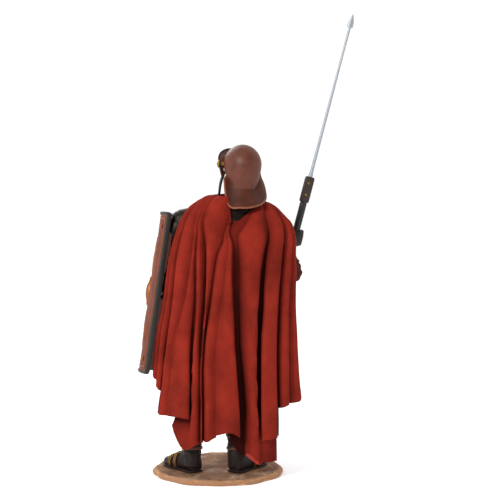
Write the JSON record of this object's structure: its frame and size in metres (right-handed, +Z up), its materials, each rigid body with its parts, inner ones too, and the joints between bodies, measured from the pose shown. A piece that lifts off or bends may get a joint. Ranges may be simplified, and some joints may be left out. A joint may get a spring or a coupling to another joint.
{
  "type": "roman soldier statue",
  "caption": "Painted figurine of a Roman foot soldier in a long red cloak, with a curved shield on the arm and an upright javelin, on a low earth base.",
  "frame": {"origin": "middle of the base's flat underside", "axes": "+Z up, the figure looks along -Y, +X to the figure's own left, where the shield is"},
  "size_m": [0.197, 0.133, 0.4167],
  "materials": {
    "earth": "matt, sandy paint over a rough cast slab",
    "figure_paint": "painted casting: pewter armour, red tunic, flesh and dark boots",
    "helmet_leather": "satin brown",
    "cloak_cloth": "matt, cloth stiffened with size",
    "brass": "worn satin",
    "shield_hide": "matt hide over board",
    "dark_iron": "dull grey green",
    "dark_wood": "near black stain",
    "brown_wood": "brown stain",
    "steel": "bright, worn"
  },
  "bodies": {
    "root": {"base": "earth", "figure": "figure_paint", "helmet": "helmet_leather", "cheek_guard_left": "helmet_leather", "cheek_guard_right": "helmet_leather", "cloak": "cloak_cloth", "brooch": "brass", "shield_board": "shield_hide", "shield_rim": "dark_iron", "shield_boss": "brass", "javelin_shaft": "dark_wood", "javelin_block": "brown_wood", "javelin_iron": "steel", "javelin_rivet_lower": "brass", "javelin_rivet_upper": "brass"}
  },
  "joints": []
}
